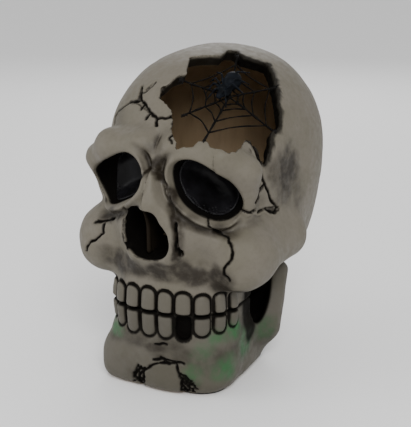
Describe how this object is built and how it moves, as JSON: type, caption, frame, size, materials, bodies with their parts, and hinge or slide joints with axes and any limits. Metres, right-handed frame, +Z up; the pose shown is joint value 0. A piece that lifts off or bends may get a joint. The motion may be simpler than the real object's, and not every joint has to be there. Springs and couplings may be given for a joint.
{
  "type": "bubbling aquarium ornament",
  "caption": "Free-standing hollow skull ornament with a broken window, a spider's web and an internal air stone fed by a swivelling inlet at the back of the jaw.",
  "frame": {"origin": "on the underside of the foot pad, below the middle of the jaw", "axes": "+Z up, the face looks along -Y, +X is the skull's own left"},
  "size_m": [0.1016, 0.1263, 0.15],
  "materials": {
    "painted_resin": "matte",
    "black_gloss": "gloss",
    "web_strand": "satin",
    "glue": "gloss",
    "spider_black": "gloss",
    "black_abs": "satin",
    "stainless": "satin",
    "foam": "matte",
    "soft_rubber": "satin",
    "silicone": "satin",
    "clear_nylon": "satin",
    "bubble_stone": "matte"
  },
  "bodies": {
    "ornament": {"skull_shell": "painted_resin", "lower_jaw": "painted_resin", "eye_cup_left": "black_gloss", "eye_cup_right": "black_gloss", "jaw_dowels": "clear_nylon", "base_plate": "black_abs", "base_screws": "stainless", "foot_pad": "foam", "inlet_bushing": "black_abs", "bushing_nut": "black_abs", "air_tube": "silicone", "tube_grommet": "soft_rubber", "stone_nipple": "clear_nylon", "air_stone": "bubble_stone", "spider_web": "web_strand", "web_knots": "glue", "spider_body": "spider_black", "spider_legs": "spider_black"},
    "elbow": {"inlet_elbow": "clear_nylon", "elbow_ring": "soft_rubber"}
  },
  "joints": [
    {"name": "elbow_swivel", "type": "hinge", "parent": "ornament", "child": "elbow", "pos_m": [0, 0.0275, 0.012], "axis": [0, 1, 0], "range_deg": [0, 180]}
  ]
}
